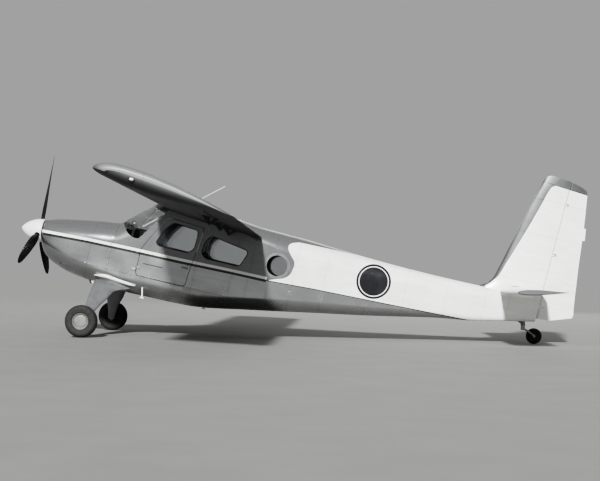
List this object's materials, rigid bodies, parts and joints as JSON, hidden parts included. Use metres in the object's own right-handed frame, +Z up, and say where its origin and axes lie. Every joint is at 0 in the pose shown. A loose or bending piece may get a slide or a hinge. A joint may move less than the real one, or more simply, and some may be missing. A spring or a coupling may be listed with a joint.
{
  "type": "light aircraft",
  "caption": "High-wing light aircraft on a tail-wheel undercarriage, with a cantilever wing, slats, flaps, a closed cabin with doors and an all-moving tailplane.",
  "frame": {"origin": "on the ground, at the middle of the overall length and of the span", "axes": "+X aft along the ground, +Y to starboard, +Z up; the aircraft is parked with its nose up 12 degrees"},
  "size_m": [9.2868, 11.89, 2.9314],
  "materials": {
    "silver_paint": "satin silver-grey enamel",
    "white_paint": "white enamel",
    "wing_paint": "satin grey enamel",
    "black_paint": "satin black",
    "clear_glass": "clear acrylic",
    "cabin_plastic": "matt dark grey",
    "black_plastic": "moulded black",
    "seat_cloth": "woven dark cloth",
    "cast_metal": "dull grey",
    "bare_steel": "dull steel",
    "tyre": "dusty rubber",
    "wheel_paint": "dull painted aluminium"
  },
  "bodies": {
    "airframe": {"cowling": "silver_paint", "engine_block": "cast_metal", "cabin_shell": "silver_paint", "cabin_floor": "silver_paint", "windshield": "clear_glass", "tail_boom": "white_paint", "fin": "white_paint", "fin_cap": "silver_paint", "rear_window_left": "clear_glass", "front_window_right": "clear_glass", "instrument_panel": "cabin_plastic", "seat_front_left": "seat_cloth", "seat_front_right": "seat_cloth", "seat_middle": "seat_cloth", "round_window_left": "clear_glass", "round_window_right": "clear_glass", "wing_left": "wing_paint", "wing_right": "wing_paint", "gear_leg_left": "wing_paint", "gear_leg_right": "wing_paint", "gear_root_fairing_left": "white_paint", "gear_root_fairing_right": "white_paint", "axle_left": "bare_steel", "axle_right": "bare_steel", "control_wheel_left": "black_plastic", "control_wheel_right": "black_plastic", "exhaust_left": "bare_steel", "exhaust_right": "bare_steel", "step_left": "white_paint", "step_right": "white_paint", "tail_wheel_bracket": "wing_paint"},
    "propeller": {"propeller": "black_paint", "spinner": "white_paint"},
    "main_wheel_left": {"tyre_left": "tyre", "wheel_left": "wheel_paint"},
    "main_wheel_right": {"tyre_right": "tyre", "wheel_right": "wheel_paint"},
    "tail_swivel": {"tail_wheel_fork": "wing_paint"},
    "tail_wheel": {"tail_tyre": "tyre", "tail_wheel": "wheel_paint"},
    "rudder": {"rudder": "white_paint"},
    "tailplane": {"tailplane": "wing_paint"},
    "aileron_left": {"aileron_left": "wing_paint"},
    "aileron_right": {"aileron_right": "wing_paint"},
    "flap_left": {"flap_left": "wing_paint"},
    "flap_right": {"flap_right": "wing_paint"},
    "slat_inner_left": {"slat_inner_left": "wing_paint"},
    "slat_outer_left": {"slat_outer_left": "wing_paint"},
    "slat_inner_right": {"slat_inner_right": "wing_paint"},
    "slat_outer_right": {"slat_outer_right": "wing_paint"},
    "door_left": {"door_left": "silver_paint", "door_left_glass": "clear_glass"},
    "door_right": {"door_right": "silver_paint", "door_right_glass": "clear_glass"}
  },
  "joints": [
    {"name": "propeller_spin", "type": "hinge", "parent": "airframe", "child": "propeller", "pos_m": [-4.32719, 0, 1.68119], "axis": [-0.9903, 0, 0.1392], "continuous": true},
    {"name": "wheel_left_spin", "type": "hinge", "parent": "airframe", "child": "main_wheel_left", "pos_m": [-3.332, -1.37, 0.25], "axis": [0, 1, 0], "continuous": true},
    {"name": "wheel_right_spin", "type": "hinge", "parent": "airframe", "child": "main_wheel_right", "pos_m": [-3.332, 1.37, 0.25], "axis": [0, 1, 0], "continuous": true},
    {"name": "tail_swivel_turn", "type": "hinge", "parent": "airframe", "child": "tail_swivel", "pos_m": [3.634, 0, 0.262], "axis": [0, 0, 1], "continuous": true},
    {"name": "tail_wheel_spin", "type": "hinge", "parent": "tail_swivel", "child": "tail_wheel", "pos_m": [3.812, 0, 0.127], "axis": [0, 1, 0], "continuous": true},
    {"name": "rudder_turn", "type": "hinge", "parent": "airframe", "child": "rudder", "pos_m": [4.1401, 0, 1.51409], "axis": [0.2283, 0, 0.9736], "range_deg": [-25, 25]},
    {"name": "tailplane_tilt", "type": "hinge", "parent": "airframe", "child": "tailplane", "pos_m": [3.42963, 0, 0.85541], "axis": [0, 1, 0], "range_deg": [-7, 21]},
    {"name": "aileron_left_turn", "type": "hinge", "parent": "airframe", "child": "aileron_left", "pos_m": [-0.98582, -5, 1.84525], "axis": [-0.0036, 0.9998, -0.0171], "range_deg": [-20, 20]},
    {"name": "aileron_right_turn", "type": "hinge", "parent": "airframe", "child": "aileron_right", "pos_m": [-0.98582, 5, 1.84525], "axis": [0.0036, 0.9998, 0.0171], "range_deg": [-20, 20]},
    {"name": "flap_left_turn", "type": "hinge", "parent": "airframe", "child": "flap_left", "pos_m": [-1.10588, -2.5, 1.66824], "axis": [-0.0036, 0.9998, -0.0171], "range_deg": [0, 40]},
    {"name": "flap_right_turn", "type": "hinge", "parent": "airframe", "child": "flap_right", "pos_m": [-1.10588, 2.5, 1.66824], "axis": [0.0036, 0.9998, 0.0171], "range_deg": [0, 40]},
    {"name": "slat_inner_left_slide", "type": "slide", "parent": "airframe", "child": "slat_inner_left", "axis": [-0.99, 0, 0.1409], "range_m": [0, 0.11]},
    {"name": "slat_outer_left_slide", "type": "slide", "parent": "airframe", "child": "slat_outer_left", "axis": [-0.99, 0, 0.1409], "range_m": [0, 0.11]},
    {"name": "slat_inner_right_slide", "type": "slide", "parent": "airframe", "child": "slat_inner_right", "axis": [-0.99, 0, 0.1409], "range_m": [0, 0.11]},
    {"name": "slat_outer_right_slide", "type": "slide", "parent": "airframe", "child": "slat_outer_right", "axis": [-0.99, 0, 0.1409], "range_m": [0, 0.11]},
    {"name": "door_left_swing", "type": "hinge", "parent": "airframe", "child": "door_left", "pos_m": [-2.56286, -0.585, 1.41556], "axis": [-0.2079, 0, -0.9781], "range_deg": [0, 80]},
    {"name": "door_right_swing", "type": "hinge", "parent": "airframe", "child": "door_right", "pos_m": [-1.66688, 0.585, 1.22511], "axis": [0.2079, 0, 0.9781], "range_deg": [0, 80]}
  ],
  "couplings": [
    {"joint": "aileron_right_turn", "follows": "aileron_left_turn", "ratio": -1},
    {"joint": "flap_right_turn", "follows": "flap_left_turn", "ratio": 1}
  ]
}
